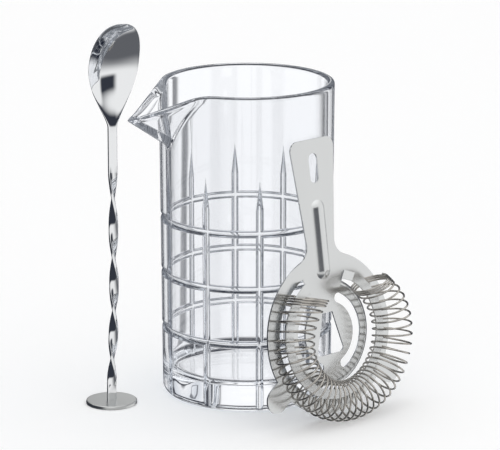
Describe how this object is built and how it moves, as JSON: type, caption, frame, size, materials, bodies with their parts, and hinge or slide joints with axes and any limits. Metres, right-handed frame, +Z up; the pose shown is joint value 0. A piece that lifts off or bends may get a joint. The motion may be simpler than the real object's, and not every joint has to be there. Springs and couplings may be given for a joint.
{
  "type": "cocktail pitcher",
  "caption": "Cut-glass mixing pitcher with a pouring lip, shown with its twisted bar spoon standing on a muddler disc and its sprung strainer leaning on the glass.",
  "frame": {"origin": "centre of the pitcher's flat foot", "axes": "+Z up along the pitcher's axis, the pouring lip points along -X, the strainer leans on the -Y side"},
  "size_m": [0.1533, 0.1339, 0.203],
  "materials": {
    "glass": "clear polished cut glass",
    "polished_steel": "mirror polished stainless steel",
    "disc_steel": "satin stainless steel",
    "plate_steel": "satin stainless steel sheet",
    "spring_wire": "drawn stainless steel wire"
  },
  "bodies": {
    "pitcher": {"glass_pitcher": "glass"},
    "spoon": {"bar_spoon": "polished_steel", "muddler_disc": "disc_steel"},
    "strainer": {"strainer_plate": "plate_steel"},
    "spring": {"strainer_spring": "spring_wire"}
  },
  "joints": [
    {"name": "spoon_lift", "type": "slide", "parent": "pitcher", "child": "spoon", "axis": [-0.1212, 0.0132, 0.9925], "range_m": [0, 0.22]},
    {"name": "strainer_lift", "type": "slide", "parent": "pitcher", "child": "strainer", "axis": [0.179, -0.6841, 0.7071], "range_m": [0, 0.2]},
    {"name": "spring_press", "type": "slide", "parent": "strainer", "child": "spring", "axis": [-0.0436, 0.1292, 0.9907], "range_m": [0, 0.002], "stiffness_N_per_m": 400}
  ]
}
